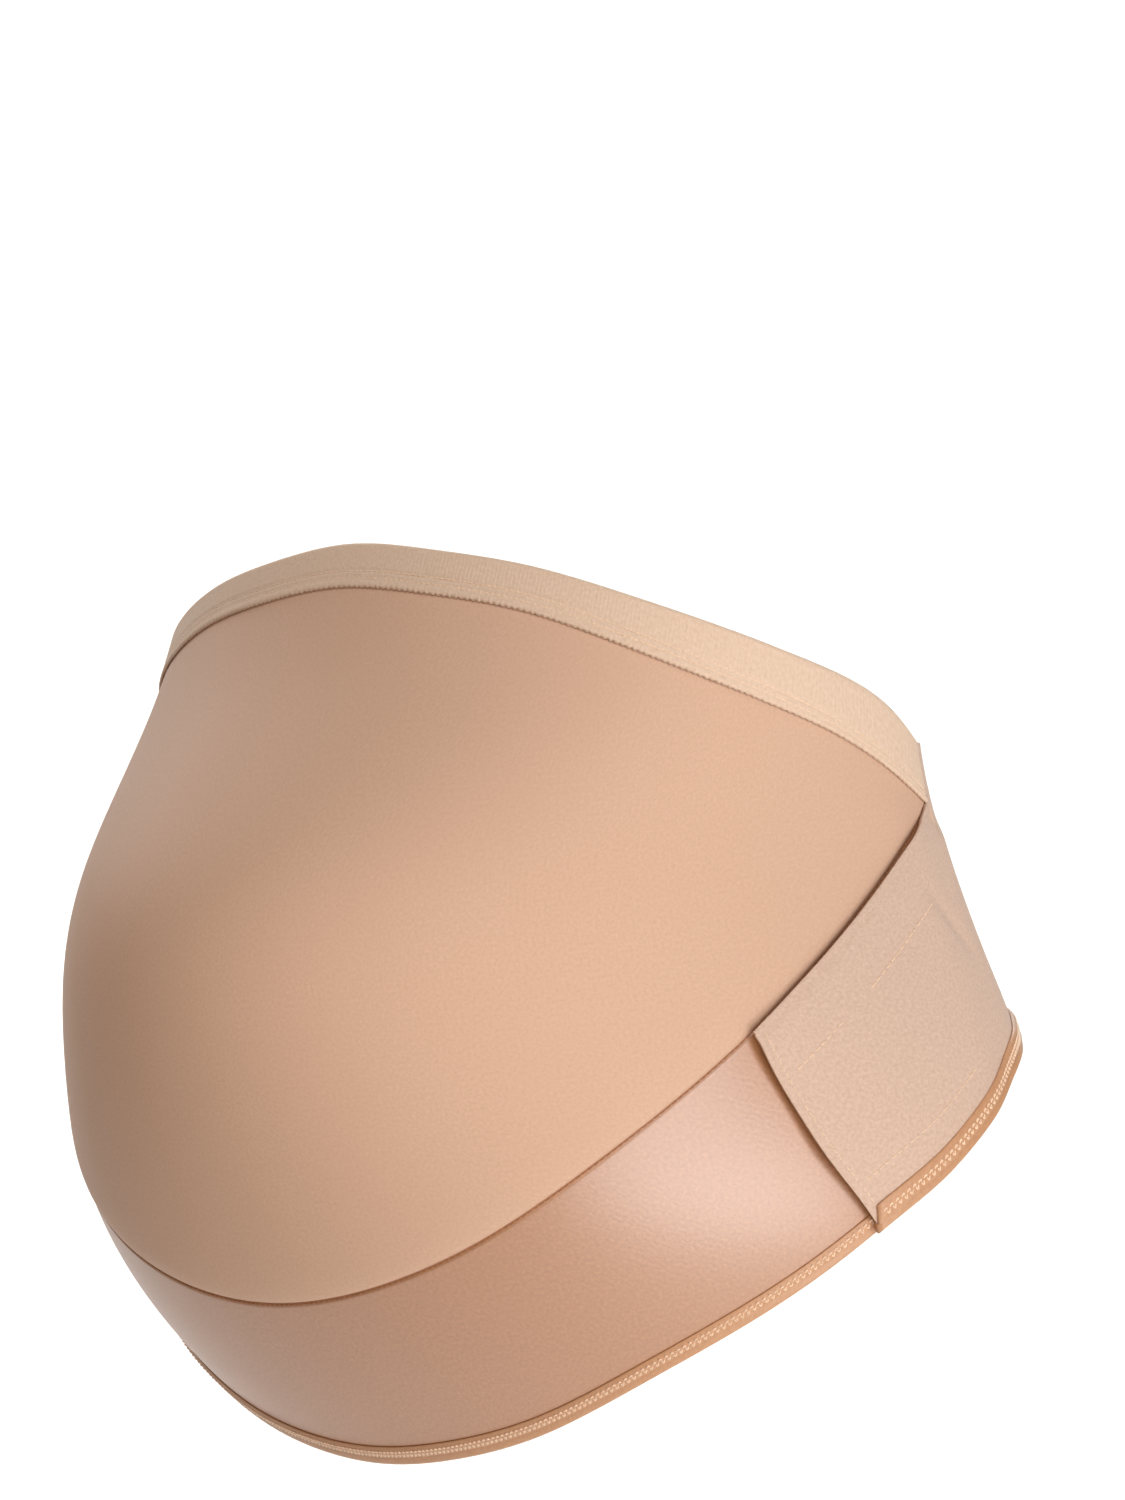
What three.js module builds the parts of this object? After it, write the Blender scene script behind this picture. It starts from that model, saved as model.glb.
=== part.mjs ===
// Maternity support belt in its worn form, in mm. +Z is up, the belly faces -Y
// and the wearer's left hand is at +X. Angles run round the body from the front
// centre (0) through the wearer's left side (90) to the centre back (180).
import * as THREE from "three";

const frontHeight = 312;   // lowest point of the hem to the top edge, at the front
const hipHalfWidth = 169;
const bumpReach = 213;     // axis to the front of the belly
const seatReach = 139;     // axis to the back at the lowest level
const sideBlendShare = 0.36;  // cosine within which the front's reach passes into the back's
const mountHeight = 180.5;
const gap = 0.3;           // air left between pieces that touch in the real belt

const panelThick = 1.4;
const bandThick = 1.6;
const wingThick = 2.0;
const trimThick = 1.0;     // the lap of an elastic over the cloth it is sewn to
const waistThick = 1.2;    // the waistband's lap over the panel
const wingLift = 3.5;      // inner face of the wing above the body, over the front hem
const seamEase = 8;        // height over which the wing meets the waistband's end
const hookThick = 1.2;

const sideSeamAngle = 99;
const seamHalfAngle = 0.12;   // half the gap at a side seam
const hemEndAngle = 88;       // hidden end of the front hem under the wing
const farSeamAngle = 360 - sideSeamAngle;
const liftStartAngle = 88.5;  // past the front hem the wing comes down on the band
const liftSpanAngle = 7.5;
const dropSpanAngle = 7;      // and past the side seam down to the body
const hookStartAngle = 2.5;   // from the wing's free end
const hookSpanAngle = 13;

const waistLap = 5;        // waistband over the panel
const hemRoll = 3;         // full rolled edge below the cloth
const frontHemWide = 7.5;
const wingHemWide = 9.5;
const wingRise = 2;        // the wing's lower corner above the front hem
const riseStartAngle = 72;
const riseSpanAngle = 10;
const wingBelowSeam = 1.2;
const puffHigh = 1.2;      // the panel swells this much over the band seam
const puffAt = 10;         // distance of the swell above the seam
const puffFade = 20;       // it dies out over this much below the waistband
const edgeEase = 0.4;      // rounding of an elastic's open edge
const hookAboveHem = 6;
const hookBelowTop = 13;

// Body sections: height as a share of frontHeight, half width of hipHalfWidth,
// front reach of bumpReach and back reach of seatReach.
const sections = [
  { height: -0.048, wide: 0.669, front: 0.568, back: 1.000 },
  { height: 0.131, wide: 0.920, front: 0.785, back: 0.950 },
  { height: 0.311, wide: 1.000, front: 0.934, back: 0.835 },
  { height: 0.490, wide: 0.929, front: 1.000, back: 0.690 },
  { height: 0.670, wide: 0.858, front: 0.930, back: 0.590 },
  { height: 0.849, wide: 0.852, front: 0.634, back: 0.597 },
  { height: 1.029, wide: 0.817, front: 0.437, back: 0.705 },
];

// Edge heights as shares of frontHeight at angles round the body.
const topEdge = [
  { around: 0, high: 1.000 }, { around: 15, high: 0.987 }, { around: 30, high: 0.963 },
  { around: 45, high: 0.925 }, { around: 60, high: 0.881 }, { around: 75, high: 0.832 },
  { around: 90, high: 0.767 }, { around: 99, high: 0.722 }, { around: 112, high: 0.711 },
  { around: 130, high: 0.702 }, { around: 155, high: 0.702 }, { around: 180, high: 0.705 },
];
const waistDepth = [
  { around: 0, high: 0.0465 }, { around: 30, high: 0.0465 }, { around: 60, high: 0.056 },
  { around: 80, high: 0.0675 }, { around: 90, high: 0.0785 }, { around: 99, high: 0.074 },
];
const bandSeam = [
  { around: 0, high: 0.212 }, { around: 15, high: 0.230 }, { around: 30, high: 0.279 },
  { around: 45, high: 0.353 }, { around: 60, high: 0.432 }, { around: 75, high: 0.5215 },
  { around: 90, high: 0.6155 }, { around: 99, high: 0.648 },
];
const hemEdge = [
  { around: 0, high: 0.001 }, { around: 15, high: 0.012 }, { around: 30, high: 0.043 },
  { around: 45, high: 0.101 }, { around: 60, high: 0.163 }, { around: 75, high: 0.235 },
  { around: 90, high: 0.314 }, { around: 99, high: 0.351 }, { around: 112, high: 0.364 },
  { around: 130, high: 0.371 }, { around: 155, high: 0.383 }, { around: 180, high: 0.390 },
];
// Angle of the wing's free end at shares of its height, bottom to top.
const wingEnd = [
  { share: 0, around: 71.8 }, { share: 0.18, around: 69.6 }, { share: 0.4, around: 67.1 },
  { share: 0.64, around: 65.4 }, { share: 0.82, around: 64.4 }, { share: 1, around: 63.8 },
];

// Natural cubic spline through a table.
function spline(xs, ys) {
  const last = xs.length - 1;
  const bend = new Array(last + 1).fill(0);
  const pass = new Array(last + 1).fill(0);
  for (let i = 1; i < last; i += 1) {
    const before = xs[i] - xs[i - 1], after = xs[i + 1] - xs[i];
    const turn = (ys[i + 1] - ys[i]) / after - (ys[i] - ys[i - 1]) / before;
    const weight = 2 * (before + after) - before * pass[i - 1];
    pass[i] = after / weight;
    bend[i] = (6 * turn - before * bend[i - 1]) / weight;
  }
  for (let i = last - 1; i > 0; i -= 1) bend[i] -= pass[i] * bend[i + 1];
  return (x) => {
    let i = 0;
    while (i < last - 1 && x > xs[i + 1]) i += 1;
    const wide = xs[i + 1] - xs[i], a = (xs[i + 1] - x) / wide, b = (x - xs[i]) / wide;
    return a * ys[i] + b * ys[i + 1]
      + ((a ** 3 - a) * bend[i] + (b ** 3 - b) * bend[i + 1]) * wide * wide / 6;
  };
}

// A height curve that is the same on both sides of the body.
function edgeCurve(table) {
  const whole = table[table.length - 1].around === 180;
  const left = table.slice(1).reverse().map((row) => ({ around: -row.around, high: row.high }));
  const back = whole ? table.slice(0, -1).reverse().map((row) => ({ around: 360 - row.around, high: row.high })) : [];
  const rows = [...left, ...table, ...back];
  const curve = spline(rows.map((row) => row.around), rows.map((row) => row.high * frontHeight));
  return (around) => curve(around > 180 ? 360 - around : Math.abs(around));
}

const heights = sections.map((row) => row.height * frontHeight);
const halfWidth = spline(heights, sections.map((row) => row.wide * hipHalfWidth));
const frontReach = spline(heights, sections.map((row) => row.front * bumpReach));
const backReach = spline(heights, sections.map((row) => row.back * seatReach));
const topAt = edgeCurve(topEdge);
const waistDepthAt = edgeCurve(waistDepth);
const seamAt = edgeCurve(bandSeam);
const hemAt = edgeCurve(hemEdge);
const wingEndAt = spline(wingEnd.map((row) => row.share), wingEnd.map((row) => row.around));
const waistLowAt = (around) => topAt(around) - waistDepthAt(around);

const soften = (x) => { const t = Math.min(1, Math.max(0, x)); return t * t * (3 - 2 * t); };
const mix = (a, b, t) => a + (b - a) * t;
const steps = (count) => Array.from({ length: count + 1 }, (_, i) => i / count);

// The body surface, and the same point moved out along the surface normal.
function body(around, up) {
  const turn = around * Math.PI / 180;
  const ahead = Math.cos(turn);
  const reach = mix(backReach(up), frontReach(up), soften((ahead / sideBlendShare + 1) / 2));
  return new THREE.Vector3(halfWidth(up) * Math.sin(turn), -reach * ahead, up);
}
function place(around, up, out) {
  const across = body(around + 0.05, up).sub(body(around - 0.05, up));
  const rise = body(around, up + 0.5).sub(body(around, up - 0.5));
  return body(around, up).addScaledVector(across.cross(rise).normalize(), out);
}

// Closed cloth shell. Each column is a list of pairs, bottom to top: the outer
// and the inner point of the wall, each as [around, up, out].
function cloth(columns) {
  const rows = columns[0].length;
  const ring = 2 * rows;
  const points = [];
  for (const column of columns) {
    for (const pair of column) points.push(...place(...pair.outer));
    for (const pair of [...column].reverse()) points.push(...place(...pair.inner));
  }
  const index = [];
  const quad = (a, b, c, d) => index.push(a, b, c, a, c, d);
  for (let i = 0; i + 1 < columns.length; i += 1) {
    for (let j = 0; j < ring; j += 1) {
      const next = (j + 1) % ring;
      quad(i * ring + j, (i + 1) * ring + j, (i + 1) * ring + next, i * ring + next);
    }
  }
  const end = (columns.length - 1) * ring;
  for (let j = 0; j + 1 < rows; j += 1) {
    quad(j, j + 1, ring - 2 - j, ring - 1 - j);
    quad(end + j, end + ring - 1 - j, end + ring - 2 - j, end + j + 1);
  }
  const geometry = new THREE.BufferGeometry();
  geometry.setAttribute("position", new THREE.Float32BufferAttribute(points, 3));
  geometry.setIndex(index);
  geometry.computeVertexNormals();
  return geometry;
}
const wall = (around, up, inner, outer) => ({ outer: [around, up, outer], inner: [around, up, inner] });

// An elastic edge trim: a full roll along the open edge and a thinner lap over
// the cloth. "inward" is +1 where the cloth lies above the edge, -1 below it.
function trim(around, edge, inward, roll, wide, lapInner, face, lift) {
  const turnAt = edge + inward * roll;
  const pairs = [
    wall(around, edge, lift, lift + face - edgeEase),
    wall(around, edge + inward * edgeEase, lift, lift + face),
    { outer: [around, turnAt, lift + face], inner: [around, turnAt, lift] },
    { outer: [around, turnAt + inward * edgeEase, lift + face], inner: [around, turnAt + inward * edgeEase / 40, lift + lapInner] },
    wall(around, edge + inward * wide, lift + lapInner, lift + face),
  ];
  return inward > 0 ? pairs : pairs.reverse();
}

// Belly panel: one smooth cloth from the band seam up under the waistband.
const panelPuff = (above) => puffHigh * (above / puffAt) * Math.exp(1 - above / puffAt);
const panelColumns = steps(56).map((s) => {
  const around = mix(-(sideSeamAngle - seamHalfAngle), sideSeamAngle - seamHalfAngle, s);
  const low = seamAt(around), high = waistLowAt(around) + waistLap - gap;
  return steps(18).map((t) => {
    const up = mix(low, high, (1 - Math.cos(Math.PI * t)) / 2);
    const out = panelPuff(up - low) * soften((high - waistLap - up) / puffFade);
    return wall(around, up, out, out + panelThick);
  });
});

// Waistband: flat elastic along the whole top edge of the panel.
const waistColumns = steps(56).map((s) => {
  const around = mix(-(sideSeamAngle - seamHalfAngle), sideSeamAngle - seamHalfAngle, s);
  const edge = topAt(around), deep = waistDepthAt(around);
  const lapFace = panelThick + gap;
  return trim(around, edge, -1, deep - waistLap, deep, lapFace, lapFace + waistThick, 0);
});

// Front support band: from the hem up to the panel, with the wing over its near end.
const bandColumns = steps(52).map((s) => {
  const around = mix(-(sideSeamAngle - seamHalfAngle), sideSeamAngle - seamHalfAngle, s);
  const low = hemAt(around) + hemRoll + gap, high = seamAt(around) - gap;
  return steps(7).map((t) => wall(around, mix(low, high, t), 0, bandThick));
});
const frontHemColumns = steps(52).map((s) => {
  const around = mix(-(sideSeamAngle - seamHalfAngle), hemEndAngle, s);
  const lapFace = bandThick + gap;
  return trim(around, hemAt(around), 1, hemRoll, frontHemWide, lapFace, lapFace + trimThick, 0);
});

// Back and wing in one cloth, from the free end round the back to the far seam.
const bandLift = bandThick + gap;
const liftAt = (around, up) => {
  const over = mix(wingLift, bandLift, soften((around - liftStartAngle) / liftSpanAngle));
  const past = 1 - soften((around - sideSeamAngle - 2 * seamHalfAngle) / dropSpanAngle);
  return over * past * (1 - soften((up - seamAt(sideSeamAngle)) / seamEase));
};
const wingLowAt = (around) => hemAt(around) + wingRise * (1 - soften((around - riseStartAngle) / riseSpanAngle));
const wingHighAt = (around) => (around <= sideSeamAngle ? seamAt(around) - wingBelowSeam : topAt(around));
const wingAngles = (share) => [
  ...steps(12).slice(0, -1).map((s) => mix(wingEndAt(share), 96, s)),
  96, sideSeamAngle, sideSeamAngle + 2 * seamHalfAngle,
  ...steps(41).slice(1).map((s) => mix(sideSeamAngle + 2 * seamHalfAngle, farSeamAngle - seamHalfAngle, s)),
];
const wingColumnCount = wingAngles(0).length;
const wingColumns = Array.from({ length: wingColumnCount }, (_, i) => steps(8).map((t) => {
  const around = wingAngles(t)[i];
  const up = mix(wingLowAt(around) + hemRoll + gap, wingHighAt(around), t);
  return wall(around, up, liftAt(around, up), liftAt(around, up) + wingThick);
}));
const backHemColumns = Array.from({ length: wingColumnCount }, (_, i) => {
  const around = wingAngles(0)[i];
  const low = wingLowAt(around), lapFace = wingThick + gap;
  return trim(around, low, 1, hemRoll, wingHemWide, lapFace, lapFace + trimThick, liftAt(around, low));
});

// Hook patch sewn inside the wing, which grips the front band.
const hookColumns = steps(6).map((s) => steps(6).map((t) => {
  const around = wingEndAt(mix(0.2, 0.85, t)) + hookStartAngle + hookSpanAngle * s;
  const low = wingLowAt(around) + wingHemWide + hookAboveHem, high = wingHighAt(around) - hookBelowTop;
  const inner = bandThick + gap;
  return wall(around, mix(low, high, t), inner, inner + hookThick);
}));

const cloths = [
  { name: "belly_panel", columns: panelColumns, color: 0xd3ab8e, roughness: 0.62 },
  { name: "waistband", columns: waistColumns, color: 0xe2c3aa, roughness: 0.7 },
  { name: "front_band", columns: bandColumns, color: 0xd9b196, roughness: 0.4 },
  { name: "front_hem", columns: frontHemColumns, color: 0xc99870, roughness: 0.5 },
  { name: "back_wing", columns: wingColumns, color: 0xdcb79c, roughness: 0.8 },
  { name: "back_hem", columns: backHemColumns, color: 0xcd9d75, roughness: 0.5 },
  { name: "hook_tape", columns: hookColumns, color: 0xd8bda6, roughness: 0.9 },
];

const belt = new THREE.Group();
belt.name = "maternity_support_belt";
for (const { name, columns, color, roughness } of cloths) {
  const piece = new THREE.Mesh(cloth(columns), new THREE.MeshStandardMaterial({ color, roughness, side: THREE.FrontSide }));
  piece.name = name;
  belt.add(piece);
}
belt.position.z = -mountHeight;
belt.updateMatrixWorld(true);

export default belt;
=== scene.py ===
import math

import bmesh
import bpy
import numpy as np
from mathutils import Matrix, Vector


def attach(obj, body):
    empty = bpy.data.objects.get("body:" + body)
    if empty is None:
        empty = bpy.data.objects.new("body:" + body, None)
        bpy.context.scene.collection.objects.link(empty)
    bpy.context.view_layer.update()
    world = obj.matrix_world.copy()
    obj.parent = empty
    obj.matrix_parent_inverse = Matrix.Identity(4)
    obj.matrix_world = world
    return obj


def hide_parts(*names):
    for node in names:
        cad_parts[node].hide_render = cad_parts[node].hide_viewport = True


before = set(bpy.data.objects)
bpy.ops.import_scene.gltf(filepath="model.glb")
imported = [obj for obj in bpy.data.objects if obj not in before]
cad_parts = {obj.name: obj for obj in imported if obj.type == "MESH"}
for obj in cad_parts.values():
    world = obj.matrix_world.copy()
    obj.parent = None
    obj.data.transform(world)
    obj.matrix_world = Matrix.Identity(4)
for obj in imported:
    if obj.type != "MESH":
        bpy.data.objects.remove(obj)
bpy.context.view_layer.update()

# Camera.
# A long lens a little above the belt, turned 40 degrees round it to the wearer's left
# and leaning a little, as the belt leans in the picture.
camera_around, camera_above, camera_lean = math.radians(40), math.radians(5), math.radians(-6.17)
camera_distance, camera_target_up, camera_lens = 1.783, 0.0471, 118.8
camera_back = Vector((math.sin(camera_around) * math.cos(camera_above),
                      -math.cos(camera_around) * math.cos(camera_above), math.sin(camera_above)))
camera_level = Vector((math.cos(camera_around), math.sin(camera_around), 0))
camera_rise = camera_back.cross(camera_level)
camera_right = camera_level * math.cos(camera_lean) + camera_rise * math.sin(camera_lean)
camera_up = camera_rise * math.cos(camera_lean) - camera_level * math.sin(camera_lean)
camera = bpy.data.objects.new("camera", bpy.data.cameras.new("camera"))
camera.data.lens = camera_lens
camera.data.clip_end = 50
bpy.context.collection.objects.link(camera)
camera.matrix_world = (Matrix.Translation(camera_back * camera_distance + Vector((0, 0, camera_target_up)))
                       @ Matrix((camera_right, camera_up, camera_back)).transposed().to_4x4())
bpy.context.scene.camera = camera

# Belly panel.
# One piece of smooth microfibre knit over the whole belly, sewn to the band below
# along a turned-in seam, over which it swells a little, and tucked under the waistband.
# Lengths are in metres, and angles in degrees round the body from the front's middle.
front_height, hip_half_width, bump_reach, seat_reach = 0.312, 0.169, 0.213, 0.139
section_shares = [
    # height, half width, front reach, back reach
    (-0.048, 0.669, 0.568, 1.000),
    (0.131, 0.920, 0.785, 0.950),
    (0.311, 1.000, 0.934, 0.835),
    (0.490, 0.929, 1.000, 0.690),
    (0.670, 0.858, 0.930, 0.590),
    (0.849, 0.852, 0.634, 0.597),
    (1.029, 0.817, 0.437, 0.705),
]
# Edge heights: angle round the body, share of the front height.
top_edge = [(0, 1.000), (15, 0.987), (30, 0.963), (45, 0.925), (60, 0.881), (75, 0.832), (90, 0.767),
            (99, 0.722), (112, 0.711), (130, 0.702), (155, 0.702), (180, 0.705)]
waist_depth = [(0, 0.0465), (30, 0.0465), (60, 0.056), (80, 0.0675), (90, 0.0785), (99, 0.074)]
band_seam = [(0, 0.212), (15, 0.230), (30, 0.279), (45, 0.353), (60, 0.432), (75, 0.5215), (90, 0.6155),
             (99, 0.648)]
side_seam, seam_gap = 99, 0.12
side_blend = 0.36  # how gradually the front's reach passes into the back's
mount_height = 0.1805
panel_thick = 0.0014
panel_low, panel_under_waist, swell_end = 0.0002, 0.0044, 0.0047
swell_high, swell_at, swell_fade = 0.0012, 0.010, 0.020
tuck_deep, tuck_high = 0.0009, 0.0018
turn_step, up_step = 0.05, 0.0005  # for the surface's slope
strip_girth, weld = 0.03, 1e-6  # a strip's length round, for its UV map, and what joins its ends


def spline(xs, ys):
    """Natural cubic spline through a table, for arrays."""
    xs, ys = np.array(xs, float), np.array(ys, float)
    wide, count = np.diff(xs), len(xs)
    system, turn = np.eye(count), np.zeros(count)
    for i in range(1, count - 1):
        system[i, i - 1 : i + 2] = wide[i - 1], 2 * (wide[i - 1] + wide[i]), wide[i]
        turn[i] = 6 * ((ys[i + 1] - ys[i]) / wide[i] - (ys[i] - ys[i - 1]) / wide[i - 1])
    bend = np.linalg.solve(system, turn)

    def at(x):
        i = np.clip(np.searchsorted(xs, x) - 1, 0, count - 2)
        b = (x - xs[i]) / wide[i]
        a = 1 - b
        bulge = ((a**3 - a) * bend[i] + (b**3 - b) * bend[i + 1]) * wide[i] ** 2 / 6
        return a * ys[i] + b * ys[i + 1] + bulge

    return at


def edge_curve(table):
    """Height of an edge that is the same on both sides of the body."""
    rows = [(-a, h) for a, h in reversed(table[1:])] + table
    if table[-1][0] == 180:
        rows = rows + [(360 - a, h) for a, h in reversed(table[:-1])]
    curve = spline([a for a, h in rows], [h * front_height for a, h in rows])
    return lambda around: curve(np.where(around > 180, 360 - around, np.abs(around)))


section_up = [row[0] * front_height for row in section_shares]
half_width_at = spline(section_up, [row[1] * hip_half_width for row in section_shares])
front_reach_at = spline(section_up, [row[2] * bump_reach for row in section_shares])
back_reach_at = spline(section_up, [row[3] * seat_reach for row in section_shares])
top_at, waist_depth_at, seam_at = edge_curve(top_edge), edge_curve(waist_depth), edge_curve(band_seam)


def mix(a, b, share):
    """The value at a share of the way from a to b."""
    return a + (b - a) * share


def soften(x):
    """A smooth step from 0 to 1."""
    x = np.clip(x, 0, 1)
    return x * x * (3 - 2 * x)


def body(around, up):
    """Point of the wearer's surface at an angle in degrees and a height above the front hem."""
    turn = np.radians(around)
    ahead = np.cos(turn)
    reach = mix(back_reach_at(up), front_reach_at(up), soften((ahead + side_blend) / (2 * side_blend)))
    return np.stack([half_width_at(up) * np.sin(turn), -reach * ahead, up], -1)


def outward(around, up):
    """The body surface's outward normal."""
    normal = np.cross(body(around + turn_step, up) - body(around - turn_step, up),
                      body(around, up + up_step) - body(around, up - up_step))
    return normal / np.linalg.norm(normal, axis=-1, keepdims=True)


def place(around, up, out):
    """The body surface moved out along its normal, with the origin at the mount's height."""
    return body(around, up) + outward(around, up) * np.asarray(out)[..., None] - [0, 0, mount_height]


def cloth_object(name, columns, rows, shape, wall, closed=False):
    """A cloth whose face follows shape(s, t) -> around, up, out; its UV map is in metres."""
    bm = bmesh.new()
    bmesh.ops.create_grid(bm, x_segments=columns, y_segments=rows, size=0.5)
    bm.verts.index_update()
    grid = np.array([v.co[:2] for v in bm.verts]) + 0.5
    around, up, out = (np.asarray(x, float) for x in shape(grid[:, 0], grid[:, 1]))
    for v, co in zip(bm.verts, place(around, up, out)):
        v.co = co
    flat = np.stack([np.radians(around) * hip_half_width, grid[:, 1] * strip_girth if closed else up], -1)
    layer = bm.loops.layers.uv.new("cloth")
    for face in bm.faces:
        face.smooth = True
        for loop in face.loops:
            loop[layer].uv = flat[loop.vert.index]
    if closed:
        bmesh.ops.remove_doubles(bm, verts=bm.verts, dist=weld)
        bmesh.ops.holes_fill(bm, edges=[e for e in bm.edges if e.is_boundary], sides=0)
    mesh = bpy.data.meshes.new(name)
    bm.to_mesh(mesh)
    bm.free()
    piece = bpy.data.objects.new(name, mesh)
    bpy.context.collection.objects.link(piece)
    if wall:
        solid = piece.modifiers.new("wall", "SOLIDIFY")
        solid.thickness, solid.offset, solid.use_even_offset = wall, -1, False
        edge = piece.modifiers.new("soft edge", "BEVEL")
        edge.width, edge.segments = wall * 0.35, 2
        edge.limit_method, edge.angle_limit = "ANGLE", math.radians(60)
    return piece


def linear(code):
    """sRGB hex to the linear colour that the shader takes."""
    parts = [int(code[i : i + 2], 16) / 255 for i in (1, 3, 5)]
    return tuple(c / 12.92 if c <= 0.04045 else ((c + 0.055) / 1.055) ** 2.4 for c in parts) + (1.0,)


def node(material, kind, values=(), links=(), **settings):
    """Adds a node with its settings, its socket values and its links."""
    added = material.node_tree.nodes.new(kind)
    for key, value in settings.items():
        setattr(added, key, value)
    for socket, value in dict(values).items():
        added.inputs[socket].default_value = value
    for socket, source in dict(links).items():
        material.node_tree.links.new(source, added.inputs[socket])
    return added


def fabric(name, values):
    """An empty fabric material with its shader, and the cloth's UV map in metres."""
    material = bpy.data.materials.new(name)
    material.use_nodes = True
    shader = material.node_tree.nodes["Principled BSDF"]
    for socket, value in values.items():
        shader.inputs[socket].default_value = value
    return material, shader, node(material, "ShaderNodeUVMap", uv_map="cloth").outputs[0]


# Microfibre knit, brushed on the face: matte, with a faint peach-skin sheen and a
# cloudy grain. The real wales are too fine to show and are drawn 2 mm apart.
microfibre, shader, cloth_uv = fabric("microfibre_knit", {
    "Roughness": 0.62, "Sheen Weight": 0.06, "Sheen Roughness": 0.4, "Specular IOR Level": 0.2})
grain = node(microfibre, "ShaderNodeTexNoise", {"Scale": 900, "Detail": 3, "Roughness": 0.6},
             {"Vector": cloth_uv})
cloud = node(microfibre, "ShaderNodeTexNoise", {"Scale": 28, "Detail": 2}, {"Vector": cloth_uv})
grain_colour = node(microfibre, "ShaderNodeMix", {"A": linear("#c49e84"), "B": linear("#e1bda4")},
                    {"Factor": grain.outputs["Fac"]}, data_type="RGBA")
cloud_colour = node(microfibre, "ShaderNodeMix", {"B": linear("#cfa68a")},
                    {"A": grain_colour.outputs["Result"]}, data_type="RGBA")
cloud_share = node(microfibre, "ShaderNodeMath", {1: 0.35}, {0: cloud.outputs["Fac"]},
                   operation="MULTIPLY")
microfibre.node_tree.links.new(cloud_share.outputs[0], cloud_colour.inputs["Factor"])
microfibre.node_tree.links.new(cloud_colour.outputs["Result"], shader.inputs["Base Color"])
wales = node(microfibre, "ShaderNodeTexWave",
             {"Scale": 160, "Distortion": 4, "Detail": 2, "Detail Scale": 3},
             {"Vector": cloth_uv}, bands_direction="X")
relief = node(microfibre, "ShaderNodeMath", {1: 0.15},
              {0: wales.outputs["Fac"], 2: grain.outputs["Fac"]}, operation="MULTIPLY_ADD")
bump = node(microfibre, "ShaderNodeBump", {"Strength": 0.12, "Distance": 0.0004},
            {"Height": relief.outputs[0]})
microfibre.node_tree.links.new(bump.outputs[0], shader.inputs["Normal"])


def puff(above, below_top):
    """The panel's swell above the seam, and its tuck at the seam."""
    swell = swell_high * (above / swell_at) * np.exp(1 - above / swell_at) * soften(below_top / swell_fade)
    return swell - tuck_deep * (1 - np.clip(above / tuck_high, 0, 1)) ** 2


def panel_shape(s, t):
    around = mix(seam_gap - side_seam, side_seam - seam_gap, s)
    low = seam_at(around) + panel_low
    high = top_at(around) - waist_depth_at(around) + panel_under_waist
    up = mix(low, high, (1 - np.cos(math.pi * t)) / 2)
    return around, up, panel_thick + puff(up - low, high - swell_end - up)


panel = cloth_object("belly_panel_cloth", 200, 120, panel_shape, panel_thick)
panel.data.materials.append(microfibre)
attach(panel, "root")
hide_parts("belly_panel")

# Waistband.
# A flat plush elastic sewn over the top edge of the panel with two lines of needle
# stitches, which press a soft ridge between them. It widens towards the side seams.
waist_face, waist_low_face, waist_lap, waist_lap_step = 0.0027, 0.0017, 0.005, 0.0006
waist_face_share, waist_columns_a_stitch, waist_rows = 0.62, 4, 36
top_round, top_round_high = 0.0009, 0.0012
low_round, low_round_high = 0.0008, 0.0010
needle_lines, needle_dip, needle_wide = (0.0030, 0.0052), 0.00045, 0.0005
scallop_deep, scallop_high = 0.00022, 0.0008
waist_stitch_count, waist_stitch_high, waist_stitch_steps = 210, 0.00016, 6
waist_thread, waist_thread_inset = 0.00021, 0.4


def bell(x, middle, width):
    """A smooth hump of height 1."""
    return np.exp(-(((x - middle) / width) ** 2))


def waist_out(above):
    """Face of the waistband at a height above its lower edge."""
    dip = sum(bell(above, line, needle_wide) for line in needle_lines)
    soft_low = low_round * (1 - np.clip(above / low_round_high, 0, 1)) ** 2
    return waist_face - needle_dip * dip - soft_low


def waist_shape(s, t):
    around = mix(seam_gap - side_seam, side_seam - seam_gap, s)
    deep = waist_depth_at(around)
    on_face = t < waist_face_share
    above_face = np.clip(t / waist_face_share, 0, 1) * deep
    above_back = mix(deep, 0, np.clip((t - waist_face_share) / (1 - waist_face_share), 0, 1))
    inner = mix(waist_low_face, 0.0, soften((above_back - waist_lap) / waist_lap_step))
    above = np.where(on_face, above_face, above_back)
    round_top = top_round * np.clip((above_face - deep + top_round_high) / top_round_high, 0, 1) ** 2
    scallop = scallop_deep * np.cos(2 * math.pi * s * waist_stitch_count) * np.exp(-above / scallop_high)
    out = np.where(on_face, waist_out(above_face) - round_top, inner)
    # The last row of points lies on the first, where the section closes.
    out = np.where(t >= 1, waist_out(np.zeros_like(t)), out)
    above = np.where(t >= 1, 0, above)
    return around, top_at(around) - deep + above + scallop, out


# Plush-backed knitted elastic: matte, with ribs across its length. The real ribs are
# finer than 1 mm and are drawn 1.8 mm apart.
plush, shader, cloth_uv = fabric("plush_back_elastic", {
    "Roughness": 0.72, "Sheen Weight": 0.08, "Sheen Roughness": 0.5, "Specular IOR Level": 0.2})
ribs = node(plush, "ShaderNodeTexWave", {"Scale": 175, "Distortion": 0.6, "Detail": 1},
            {"Vector": cloth_uv}, bands_direction="X")
fuzz = node(plush, "ShaderNodeTexNoise", {"Scale": 700, "Detail": 2}, {"Vector": cloth_uv})
rib_colour = node(plush, "ShaderNodeMix", {"A": linear("#cfb096"), "B": linear("#ead1bb")},
                  {"Factor": fuzz.outputs["Fac"]}, data_type="RGBA")
plush.node_tree.links.new(rib_colour.outputs["Result"], shader.inputs["Base Color"])
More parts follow.
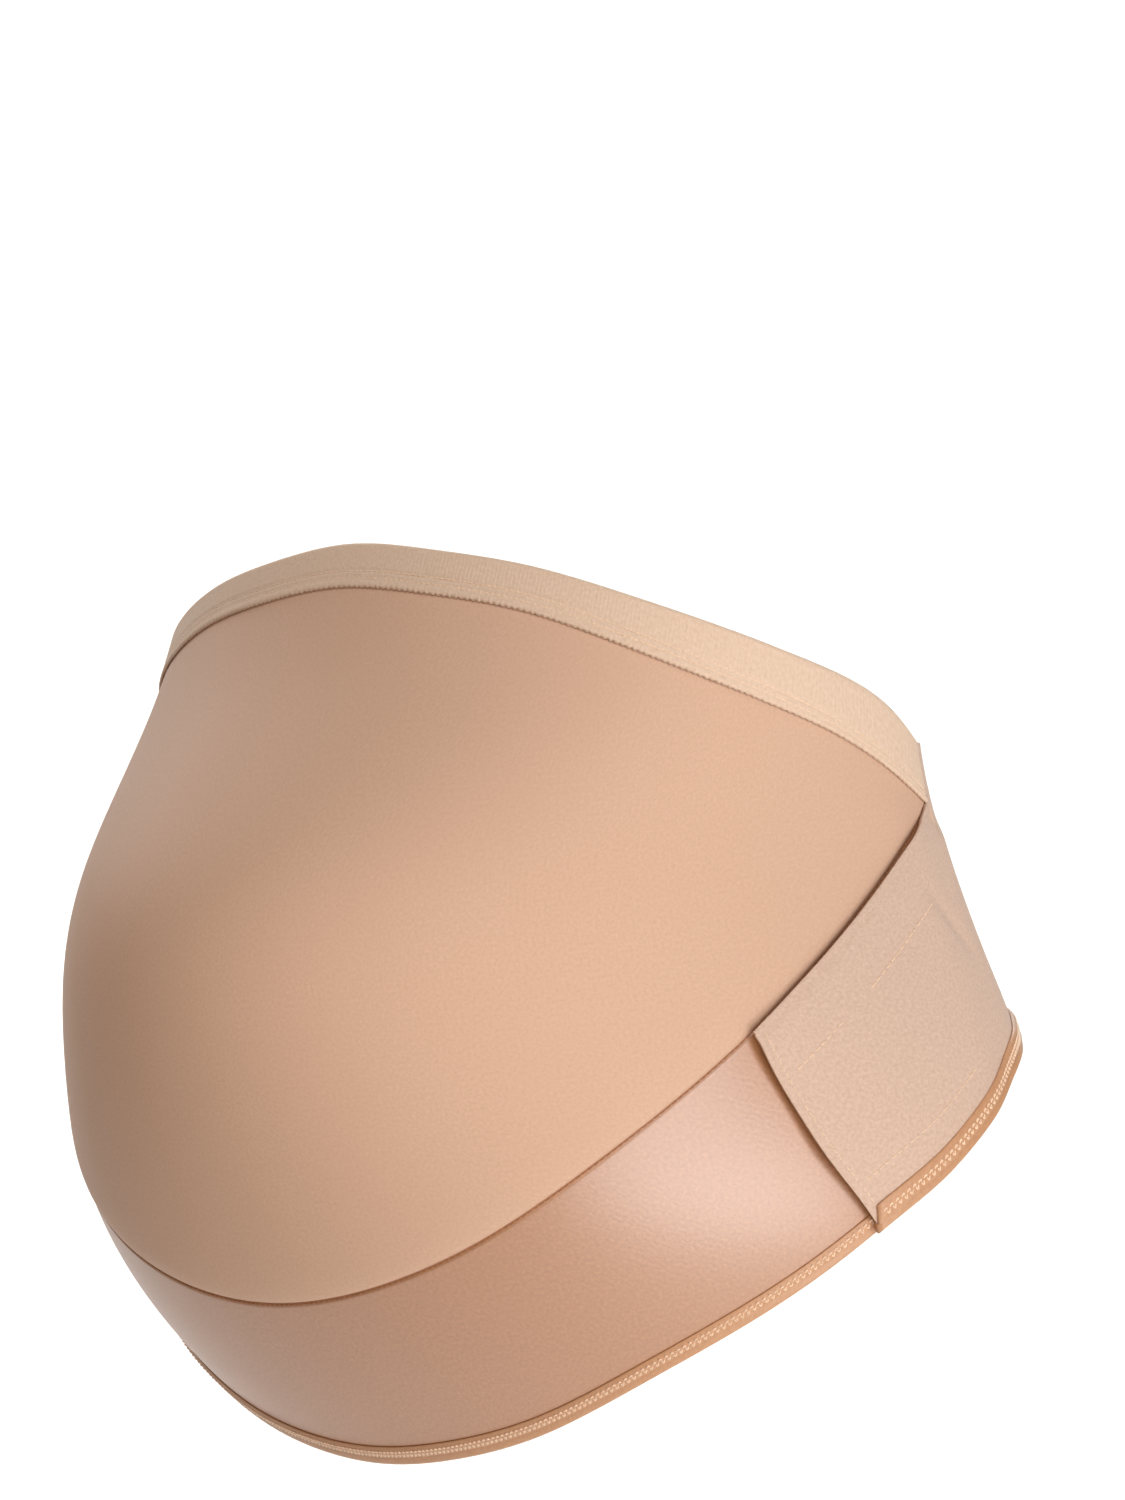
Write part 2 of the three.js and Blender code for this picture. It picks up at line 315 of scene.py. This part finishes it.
relief = node(plush, "ShaderNodeMath", {1: 0.6}, {0: ribs.outputs["Fac"], 2: fuzz.outputs["Fac"]},
              operation="MULTIPLY_ADD")
bump = node(plush, "ShaderNodeBump", {"Strength": 0.18, "Distance": 0.0004}, {"Height": relief.outputs[0]})
plush.node_tree.links.new(bump.outputs[0], shader.inputs["Normal"])

waistband = cloth_object("waistband_elastic", waist_stitch_count * waist_columns_a_stitch, waist_rows,
                         waist_shape, 0, closed=True)
waistband.data.materials.append(plush)
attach(waistband, "root")
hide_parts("waistband")

# Spun polyester sewing thread, a shade lighter than the cloth, with a dry gloss.
# Its twist is drawn as a fine mottle of 0.4 mm.
sewing_thread, shader, _ = fabric("polyester_sewing_thread", {
    "Roughness": 0.45, "Sheen Weight": 0.2, "Specular IOR Level": 0.45})
twist = node(sewing_thread, "ShaderNodeTexNoise", {"Scale": 2500, "Detail": 1},
             {"Vector": node(sewing_thread, "ShaderNodeTexCoord").outputs["Object"]})
thread_colour = node(sewing_thread, "ShaderNodeMix", {"A": linear("#e6c09e"), "B": linear("#f7dcc2")},
                     {"Factor": twist.outputs["Fac"]}, data_type="RGBA")
sewing_thread.node_tree.links.new(thread_colour.outputs["Result"], shader.inputs["Base Color"])

thread_sides, thread_step, thread_weld = 6, 1e-5, 1e-7


def thread(name, steps, path, radius, material=sewing_thread):
    """A sewing thread whose middle follows path(s) -> around, up, out."""
    bm = bmesh.new()
    bmesh.ops.create_grid(bm, x_segments=steps, y_segments=thread_sides, size=0.5)
    grid = np.array([v.co[:2] for v in bm.verts]) + 0.5
    along = place(*path(grid[:, 0] + thread_step)) - place(*path(grid[:, 0] - thread_step))
    along /= np.linalg.norm(along, axis=1, keepdims=True)
    around, up, out = path(grid[:, 0])
    away = outward(around, up)
    aside = np.cross(along, away)
    aside /= np.linalg.norm(aside, axis=1, keepdims=True)
    away = np.cross(aside, along)
    turn = 2 * math.pi * grid[:, 1:2]
    spots = place(around, up, out) + radius * (np.cos(turn) * aside + np.sin(turn) * away)
    for v, co in zip(bm.verts, spots):
        v.co = co
    bmesh.ops.remove_doubles(bm, verts=bm.verts, dist=thread_weld)
    bmesh.ops.holes_fill(bm, edges=[e for e in bm.edges if e.is_boundary], sides=0)
    bmesh.ops.recalc_face_normals(bm, faces=bm.faces)
    for face in bm.faces:
        face.smooth = True
    mesh = bpy.data.meshes.new(name)
    bm.to_mesh(mesh)
    bm.free()
    piece = bpy.data.objects.new(name, mesh)
    bpy.context.collection.objects.link(piece)
    mesh.materials.append(material)
    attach(piece, "root")
    return piece


def running(s, count, high):
    """Height of a running stitch over the cloth: up over each stitch, down at its ends."""
    return high * (1 - 2 * np.abs(np.cos(math.pi * s * count)) ** 6)


for index, line in enumerate(needle_lines):
    def waist_line(s, line=line):
        around = mix(waist_thread_inset - side_seam, side_seam - waist_thread_inset, s)
        low = top_at(around) - waist_depth_at(around)
        out = waist_face - needle_dip + running(s, waist_stitch_count, waist_stitch_high)
        return around, low + line, out

    thread(f"waistband_stitches_{index + 1}", waist_stitch_count * waist_stitch_steps, waist_line,
           waist_thread)

# Front band.
# Satin-faced elastic cloth under the belly, firmer than the panel. Its upper edge is
# turned into the panel's seam and its lower edge is bound by the hem elastic.
hem_edge = [(0, 0.001), (15, 0.012), (30, 0.043), (45, 0.101), (60, 0.163), (75, 0.235), (90, 0.314),
            (99, 0.351), (112, 0.364), (130, 0.371), (155, 0.383), (180, 0.390)]
hem_at = edge_curve(hem_edge)
hem_roll, roll_gap = 0.003, 0.0003
band_thick = 0.0016
turn_in, turn_start, turn_deep = 0.002, 0.0010, 0.0024
fine_rows_share, fine_rows_high = 0.25, 0.003
seam_stitch_count, seam_stitch_high, seam_stitch_steps = 260, 0.00012, 5
seam_thread_radius, seam_thread_down, seam_thread_out = 0.00024, 0.0002, 0.0009
seam_thread_start, seam_thread_end = 0.3, 3.5


def band_shape(s, t):
    around = mix(seam_gap - side_seam, side_seam - seam_gap, s)
    low, high = hem_at(around) + hem_roll + roll_gap, seam_at(around)
    coarse = 1 - fine_rows_share
    up = np.where(t < coarse, mix(low, high - fine_rows_high, t / coarse),
                  mix(high - fine_rows_high, high + turn_in, (t - coarse) / fine_rows_share))
    tuck = turn_deep * soften((up - high + turn_start) / (turn_start + turn_in))
    return around, up, band_thick - tuck


# Spun polyester thread lying in the seam's groove. Its dark brown is partly the thread's own tone and
# partly painted shade, standing in for the groove's shadow.
seam_thread, shader, _ = fabric("seam_thread_and_painted_groove_shade", {"Roughness": 0.7, "Specular IOR Level": 0.2})
twist = node(seam_thread, "ShaderNodeTexNoise", {"Scale": 2500, "Detail": 1},
             {"Vector": node(seam_thread, "ShaderNodeTexCoord").outputs["Object"]})
thread_colour = node(seam_thread, "ShaderNodeMix", {"A": linear("#8f5f3f"), "B": linear("#b98a68")},
                     {"Factor": twist.outputs["Fac"]}, data_type="RGBA")
seam_thread.node_tree.links.new(thread_colour.outputs["Result"], shader.inputs["Base Color"])

# Satin-faced elastic, shiny nylon floats over rubber: a soft gloss. The real floats are
# too fine to show and are drawn as slanting bands 2 mm apart.
satin, shader, cloth_uv = fabric("satin_face_elastic", {
    "Roughness": 0.40, "IOR": 1.85, "Specular IOR Level": 1.0})
lean = node(satin, "ShaderNodeMapping", {"Rotation": (0, 0, math.radians(28))}, {"Vector": cloth_uv})
floats = node(satin, "ShaderNodeTexWave", {"Scale": 150, "Distortion": 7, "Detail": 2, "Detail Scale": 2},
              {"Vector": lean.outputs[0]}, bands_direction="Y")
grain = node(satin, "ShaderNodeTexNoise", {"Scale": 850, "Detail": 3}, {"Vector": cloth_uv})
satin_colour = node(satin, "ShaderNodeMix", {"A": linear("#9a6238"), "B": linear("#c68b5c")},
                    {"Factor": grain.outputs["Fac"]}, data_type="RGBA")
satin.node_tree.links.new(satin_colour.outputs["Result"], shader.inputs["Base Color"])
relief = node(satin, "ShaderNodeMath", {1: 0.5}, {0: floats.outputs["Fac"], 2: grain.outputs["Fac"]},
              operation="MULTIPLY_ADD")
bump = node(satin, "ShaderNodeBump", {"Strength": 0.07, "Distance": 0.0004}, {"Height": relief.outputs[0]})
satin.node_tree.links.new(bump.outputs[0], shader.inputs["Normal"])

band = cloth_object("front_band_cloth", 200, 44, band_shape, band_thick)
band.data.materials.append(satin)
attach(band, "root")
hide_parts("front_band")


def seam_line(s):
    around = mix(seam_thread_start - side_seam, side_seam - seam_thread_end, s)
    out = seam_thread_out + running(s, seam_stitch_count, seam_stitch_high)
    return around, seam_at(around) - seam_thread_down, out


# The seam's stitches, in the thread whose dark brown is partly painted shade of the groove.
thread("belly_seam_stitches", seam_stitch_count * seam_stitch_steps, seam_line, seam_thread_radius,
       seam_thread)

# Hems.
# Tan fold-over elastic, satin on its face: a full round roll along the open edge and a
# flat lap over the cloth, held by a zigzag. One runs under the band, one under the back.
front_hem_wide, front_hem_face, front_lap_inner = 0.0075, 0.0029, 0.00165
back_hem_wide, back_hem_face, back_lap_inner = 0.0095, 0.0033, 0.00205
hem_end = 88  # hidden under the wing
wing_raise, wing_raise_at, wing_raise_wide = 0.002, 72, 10
lift_over_hem, lift_over_band, lift_step_at, lift_step_wide = 0.0035, 0.0019, 88.5, 7.5
lift_fade_wide, lift_fade_high = 16, 0.008
seam_end_up = seam_at(np.array(float(side_seam)))
# The wing's free end: share of its height, angle round the body.
wing_end = [(0, 71.8), (0.18, 69.6), (0.4, 67.1), (0.64, 65.4), (0.82, 64.4), (1, 63.8)]
wing_end_at = spline([share for share, around in wing_end], [around for share, around in wing_end])


def over_band(around, up):
    """1 where the wing lies over the band, fading to 0 behind the side seam and above it."""
    behind = soften((around - side_seam - 2 * seam_gap) / lift_fade_wide)
    return (1 - behind) * (1 - soften((up - seam_end_up) / lift_fade_high))


def lift_at(around, up):
    """How far the wing's inner face stands off the body: more over the front hem than over the band."""
    lift = mix(lift_over_hem, lift_over_band, soften((around - lift_step_at) / lift_step_wide))
    return lift * over_band(around, up)


def wing_low_at(around):
    """Lower edge of the wing and the back, a little above the front hem's at the free end."""
    return hem_at(around) + wing_raise * (1 - soften((around - wing_raise_at) / wing_raise_wide))


def strip_ring(points, t):
    """Point at the share t of the way round a closed outline of (up, out) corners."""
    ring = np.array(points + points[:1])
    reach = np.concatenate([[0], np.cumsum(np.linalg.norm(np.diff(ring, axis=0), axis=1))])
    return np.interp(t * reach[-1], reach, ring[:, 0]), np.interp(t * reach[-1], reach, ring[:, 1])


def hem_outline(wide, lap_inner, face):
    """Corners of the elastic's section as (height above the edge, distance out)."""
    roll = [(hem_roll / 2 * (1 - math.sin(turn)), (face + 0.0002) / 2 * (1 - math.cos(turn)))
            for turn in np.linspace(0, math.pi, 11)]
    valley = [(hem_roll * 0.95, face - 0.0001), (hem_roll * 1.12, face - 0.00045),
              (hem_roll * 1.3, face - 0.0002)]
    lap = [(hem_roll * 1.5, face - 0.0001), (wide - 0.0016, face - 0.0001), (wide - 0.0006, face - 0.0005),
           (wide, lap_inner + 0.0002), (wide - 0.0002, lap_inner), (hem_roll + 0.0002, lap_inner),
           (hem_roll, lap_inner - 0.0004), (hem_roll, 0.0001)]
    return roll + valley + lap


def front_hem_shape(s, t):
    around = mix(seam_gap - side_seam, hem_end, s)
    above, out = strip_ring(hem_outline(front_hem_wide, front_lap_inner, front_hem_face), t)
    return around, hem_at(around) + above, out


def back_hem_shape(s, t):
    around = mix(wing_end_at(0.0), 360 - side_seam - seam_gap, s)
    above, out = strip_ring(hem_outline(back_hem_wide, back_lap_inner, back_hem_face), t)
    low = wing_low_at(around)
    return around, low + above, out + lift_at(around, low)


# Nylon-faced fold-over elastic: glossy along the roll, with fine ribs across it. The
# real ribs are finer than 1 mm and are drawn 1.6 mm apart.
fold_over, shader, cloth_uv = fabric("fold_over_satin_elastic", {
    "Roughness": 0.36, "Sheen Weight": 0.0, "Specular IOR Level": 0.6})
ribs = node(fold_over, "ShaderNodeTexWave", {"Scale": 200, "Distortion": 0.8, "Detail": 1},
            {"Vector": cloth_uv}, bands_direction="X")
grain = node(fold_over, "ShaderNodeTexNoise", {"Scale": 600, "Detail": 2}, {"Vector": cloth_uv})
hem_colour = node(fold_over, "ShaderNodeMix", {"A": linear("#b98660"), "B": linear("#cf9f79")},
                  {"Factor": grain.outputs["Fac"]}, data_type="RGBA")
fold_over.node_tree.links.new(hem_colour.outputs["Result"], shader.inputs["Base Color"])
bump = node(fold_over, "ShaderNodeBump", {"Strength": 0.15, "Distance": 0.0003},
            {"Height": ribs.outputs["Fac"]})
fold_over.node_tree.links.new(bump.outputs[0], shader.inputs["Normal"])

for name, node_name, shape, columns in (("front_hem_elastic", "front_hem", front_hem_shape, 260),
                                        ("back_hem_elastic", "back_hem", back_hem_shape, 320)):
    hem = cloth_object(name, columns, 60, shape, 0, closed=True)
    hem.data.materials.append(fold_over)
    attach(hem, "root")
    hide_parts(node_name)


def zigzag(s, count):
    """Sideways swing of a zigzag, sharp at its points."""
    wave = np.sin(2 * math.pi * s * count)
    return wave * (1.25 - 0.25 * wave**2)


front_zigzags, front_zigzag_up, front_swing, front_thread = 250, 0.0053, 0.0010, 0.00030
back_zigzags, back_zigzag_up, back_swing, back_thread = 255, 0.0060, 0.0012, 0.00034
zigzag_high, zigzag_sink, zigzag_steps = 0.0001, 0.00062, 8
zigzag_seam_inset, front_zigzag_inset, back_zigzag_inset = 0.5, 1, 0.6


def front_zigzag_path(s):
    around = mix(zigzag_seam_inset - side_seam, hem_end - front_zigzag_inset, s)
    swing = zigzag(s, front_zigzags)
    out = front_hem_face + zigzag_high - zigzag_sink * (1 - np.abs(swing))
    return around, hem_at(around) + front_zigzag_up + front_swing * swing, out


def back_zigzag_path(s):
    around = mix(wing_end_at(0.0) + back_zigzag_inset, 360 - side_seam - zigzag_seam_inset, s)
    swing = zigzag(s, back_zigzags)
    low = wing_low_at(around)
    out = back_hem_face + zigzag_high - zigzag_sink * (1 - np.abs(swing))
    return around, low + back_zigzag_up + back_swing * swing, out + lift_at(around, low)


thread("front_hem_zigzag", front_zigzags * zigzag_steps, front_zigzag_path, front_thread)
thread("back_hem_zigzag", back_zigzags * zigzag_steps, back_zigzag_path, back_thread)

# Back and wing.
# A matte brushed loop cloth in two plies, from its free end over the hip and round the
# back to the far side seam. Its end is turned in and sewn, and the hook patch is inside.
wing_out, wing_wall, wing_lap, wing_lap_end = 0.002, 0.0012, 0.0010, 96
wave_deep, wave_turn, wave_fade = 0.0005, 145, 4
end_ridge, end_ridge_at, end_ridge_wide = 0.0004, 0.4, 0.35
top_ridge, top_ridge_at, top_ridge_wide, top_ridge_fade = 0.0005, 0.0010, 0.0008, 3
dent_deep, dent_around, dent_up, dent_wide, dent_high, dent_slant = 0.0013, 92.78, 0.163, 1.5, 0.012, 280
sink_deep, sink_at, sink_wide, sink_start, sink_high = 0.0016, 88, 9, 0.014, 0.011
press_deep, press_high, press_at, press_wide = 0.0012, 0.006, 86, 8
wing_fore_share, wing_step_share, wing_fore_bias = 0.25, 0.05, 1.5


def wing_face(around, up, from_end, from_top):
    """Face of the wing: wavy at its free end, ridged at its folded edges, with one soft dent."""
    wave = wave_deep * np.sin(up * wave_turn) * np.exp(-from_end / wave_fade)
    lapping = 1 - soften((around - wing_lap_end) / top_ridge_fade)
    ridge = (end_ridge * bell(from_end, end_ridge_at, end_ridge_wide)
             + top_ridge * bell(from_top, top_ridge_at, top_ridge_wide) * lapping)
    dent = (dent_deep * bell(around - (dent_up - up) * dent_slant, dent_around, dent_wide)
            * bell(up, dent_up, dent_high))
    sink = (sink_deep * soften((around - sink_at) / sink_wide)
            * soften((up - seam_end_up + sink_start) / sink_high) * over_band(around, up))
    press = (press_deep * (1 - soften(from_top / press_high))
             * (1 - soften((around - press_at) / press_wide)))
    return lift_at(around, up) + wing_out + wave + ridge - dent - sink - press


def wing_high_at(around):
    """Upper edge: just over the panel's seam in front, the back's own edge behind the side seam."""
    step = soften((around - side_seam) / (2 * seam_gap))
    clipped = np.clip(around, 0, side_seam)
    return mix(seam_at(clipped) + wing_lap, top_at(around), step)


def wing_shape(s, t):
    end = wing_end_at((1 - np.cos(math.pi * t)) / 2)
    behind_seam, far_seam = side_seam + 2 * seam_gap, 360 - side_seam - seam_gap
    aft_from = wing_fore_share + wing_step_share
    fore = mix(end, wing_lap_end, np.clip(s / wing_fore_share, 0, 1) ** wing_fore_bias)
    step = mix(wing_lap_end, behind_seam, np.clip((s - wing_fore_share) / wing_step_share, 0, 1))
    aft = mix(behind_seam, far_seam, np.clip((s - aft_from) / (1 - aft_from), 0, 1))
    around = np.where(s < wing_fore_share, fore, np.where(s < aft_from, step, aft))
    low, high = wing_low_at(around) + hem_roll + roll_gap, wing_high_at(around)
    up = mix(low, high, (1 - np.cos(math.pi * t)) / 2)
    return around, up, wing_face(around, up, around - end, high - up)


# Brushed nylon loops: matte and a little crinkled, with a grain of about 1.2 mm.
loop_cloth, shader, cloth_uv = fabric("brushed_loop_fabric", {
    "Roughness": 0.85, "Sheen Weight": 0.1, "Sheen Roughness": 0.5, "Specular IOR Level": 0.15})
crinkle = node(loop_cloth, "ShaderNodeTexNoise", {"Scale": 800, "Detail": 4, "Roughness": 0.65},
               {"Vector": cloth_uv})
cells = node(loop_cloth, "ShaderNodeTexVoronoi", {"Scale": 850}, {"Vector": cloth_uv})
loop_colour = node(loop_cloth, "ShaderNodeMix", {"A": linear("#b79681"), "B": linear("#e4c9b6")},
                   {"Factor": crinkle.outputs["Fac"]}, data_type="RGBA")
loop_cloth.node_tree.links.new(loop_colour.outputs["Result"], shader.inputs["Base Color"])
relief = node(loop_cloth, "ShaderNodeMath", {1: 0.6},
              {0: cells.outputs["Distance"], 2: crinkle.outputs["Fac"]}, operation="MULTIPLY_ADD")
bump = node(loop_cloth, "ShaderNodeBump", {"Strength": 0.35, "Distance": 0.0005},
            {"Height": relief.outputs[0]})
loop_cloth.node_tree.links.new(bump.outputs[0], shader.inputs["Normal"])

wing = cloth_object("back_wing_cloth", 360, 60, wing_shape, wing_wall)
wing.data.materials.append(loop_cloth)
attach(wing, "root")
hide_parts("back_wing")

# Lines of running stitches that hold the hook patch inside the wing, the upper one with a
# gap, and the line that closes the wing's end.
wing_stitch_high, wing_stitch_sunk, wing_stitch_steps = 0.00028, 0.00018, 8
upper_lines, upper_stitches_a_degree, upper_thread = ((66.8, 73.4), (77.4, 89.6)), 1.25, 0.00024
upper_down, upper_slant, upper_slant_at, upper_share = 0.0190, 0.0001, 64.8, 0.85
lower_start, lower_end, lower_stitches, lower_thread = 70.9, 88.0, 21, 0.00022
lower_up, lower_from_top, lower_share = 0.0195, 0.05, 0.2
end_margin, end_inset, end_stitches, end_thread = 0.03, 0.95, 30, 0.00018


def wing_stitch(s, around, up, from_end, from_top, count):
    """A line of stitches on the wing's face, pulled a little into it."""
    face = wing_face(around, up, from_end, from_top)
    return around, up, face + running(s, count, wing_stitch_high) - wing_stitch_sunk


def lower_line(s):
    around = mix(lower_start, lower_end, s)
    from_end = around - wing_end_at(lower_share)
    return wing_stitch(s, around, wing_low_at(around) + lower_up, from_end, lower_from_top, lower_stitches)


def end_line(s):
    share = mix(end_margin, 1 - end_margin, s)
    around = wing_end_at(share) + end_inset
    low, high = wing_low_at(around) + hem_roll, wing_high_at(around)
    up = mix(low, high, share)
    return wing_stitch(s, around, up, end_inset, high - up, end_stitches)


for index, (start, end) in enumerate(upper_lines):
    count = round((end - start) * upper_stitches_a_degree)

    def upper_line(s, start=start, end=end, count=count):
        around = mix(start, end, s)
        down = upper_down + upper_slant * (around - upper_slant_at)
        from_end = around - wing_end_at(upper_share)
        return wing_stitch(s, around, seam_at(around) - down, from_end, down, count)

    thread(f"wing_stitches_upper_{index + 1}", count * wing_stitch_steps, upper_line, upper_thread)
thread("wing_stitches_lower", lower_stitches * wing_stitch_steps, lower_line, lower_thread)
thread("wing_stitches_end", end_stitches * wing_stitch_steps, end_line, end_thread)

# Hook patch.
# An oblong of stiff hook tape sewn inside the wing's end, facing the band. It can't be
# seen with the wing closed, and its hooks are drawn as rows of small dots.
hook_thick, hook_inner = 0.0012, 0.0019
hook_inset, hook_wide, hook_above_hem, hook_below_top = 2.5, 13, 0.006, 0.013


def hook_shape(s, t):
    around = wing_end_at(mix(lower_share, upper_share, t)) + hook_inset + hook_wide * s
    low, high = wing_low_at(around) + back_hem_wide + hook_above_hem, wing_high_at(around) - hook_below_top
    return around, mix(low, high, t), np.full_like(s, hook_inner + hook_thick)


# Nylon hooks in rows 1.2 mm apart on a woven ground.
hooks, shader, cloth_uv = fabric("moulded_hook_tape", {"Roughness": 0.55, "Specular IOR Level": 0.4})
rows = node(hooks, "ShaderNodeTexVoronoi", {"Scale": 830, "Randomness": 0.1}, {"Vector": cloth_uv})
hook_colour = node(hooks, "ShaderNodeMix", {"A": linear("#e6cdb8"), "B": linear("#bf9c82")},
                   {"Factor": rows.outputs["Distance"]}, data_type="RGBA")
hooks.node_tree.links.new(hook_colour.outputs["Result"], shader.inputs["Base Color"])
bump = node(hooks, "ShaderNodeBump", {"Strength": 0.5, "Distance": 0.0005},
            {"Height": rows.outputs["Distance"]})
hooks.node_tree.links.new(bump.outputs[0], shader.inputs["Normal"])

hook_patch = cloth_object("hook_patch", 30, 30, hook_shape, hook_thick)
hook_patch.data.materials.append(hooks)
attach(hook_patch, "root")
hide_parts("hook_tape")

# Floor, backdrop and light.
# A white paper sweep: a wide floor, a cove and a wall behind it. A soft key stands at the
# right, a warm fill at the left and one lamp above; a low card gives the satin its
# highlight, and two lamps behind keep the sweep white.
floor_up, floor_front, floor_back, cove, wall_high, sweep_wide = -1.0, 8.0, 3.5, 1.0, 4.0, 16.0
sweep_rows, world_glow = 160, 0.06
sweep_aim_back, sweep_aim_up = 3.2, -0.2
quarter = cove * math.pi / 2
away = Vector((-camera_back.x, -camera_back.y, 0)).normalized()
bm = bmesh.new()
bmesh.ops.create_grid(bm, x_segments=2, y_segments=sweep_rows, size=0.5)
for v in bm.verts:
    along = (v.co.y + 0.5) * (floor_front + floor_back + quarter + wall_high) - floor_front
    bend = min(max((along - floor_back) / cove, 0), math.pi / 2)
    spot = camera_level * v.co.x * sweep_wide + away * (min(along, floor_back) + cove * math.sin(bend))
    rise = cove * (1 - math.cos(bend)) + max(along - floor_back - quarter, 0)
    v.co = (spot.x, spot.y, floor_up + rise)
bmesh.ops.recalc_face_normals(bm, faces=bm.faces)
for face in bm.faces:
    face.smooth = True
sweep_mesh = bpy.data.meshes.new("sweep")
bm.to_mesh(sweep_mesh)
bm.free()
sweep = bpy.data.objects.new("sweep", sweep_mesh)
bpy.context.collection.objects.link(sweep)
paper, shader, _ = fabric("white_paper", {"Base Color": linear("#f7f6f4"), "Roughness": 0.9})
sweep_mesh.materials.append(paper)

world = bpy.data.worlds.new("studio")
world.use_nodes = True
world.node_tree.nodes["Background"].inputs["Color"].default_value = (1, 1, 1, 1)
world.node_tree.nodes["Background"].inputs["Strength"].default_value = world_glow
bpy.context.scene.world = world
bpy.context.scene.view_settings.view_transform = "Standard"

lamps = [
    # name, place to the camera's right, height, place towards the camera, width, height, watts, colour
    ("key", 1.25, 0.75, 1.6, 1.3, 1.3, 16, "#ffffff"),
    ("fill", -0.5, 0.7, 2.2, 1.6, 1.6, 12, "#ffe3cc"),
    ("top", -0.5, 2.2, 0.9, 1.6, 1.6, 20, "#ffffff"),
    ("low_card", 0.84, -0.46, 1.02, 1.3, 0.95, 10, "#ffffff"),
    ("sweep_left", -1.6, 1.7, -2.6, 1.8, 1.8, 70, "#ffffff"),
    ("sweep_right", 1.6, 1.7, -2.6, 1.8, 1.8, 70, "#ffffff"),
]
for name, side, high, ahead, wide, tall, watts, colour in lamps:
    lamp = bpy.data.lights.new(name, "AREA")
    lamp.shape, lamp.size, lamp.size_y, lamp.energy = "RECTANGLE", wide, tall, watts
    lamp.color = linear(colour)[:3]
    holder = bpy.data.objects.new(name, lamp)
    spot = camera_level * side - away * ahead + Vector((0, 0, high))
    holder.location = spot
    aim = Vector((0, 0, 0))
    if name.startswith("sweep"):
        aim = Vector((0, 0, sweep_aim_up)) - camera_back * sweep_aim_back
    holder.rotation_euler = (aim - spot).to_track_quat("-Z", "Y").to_euler()
    holder.visible_camera = False
    bpy.context.collection.objects.link(holder)
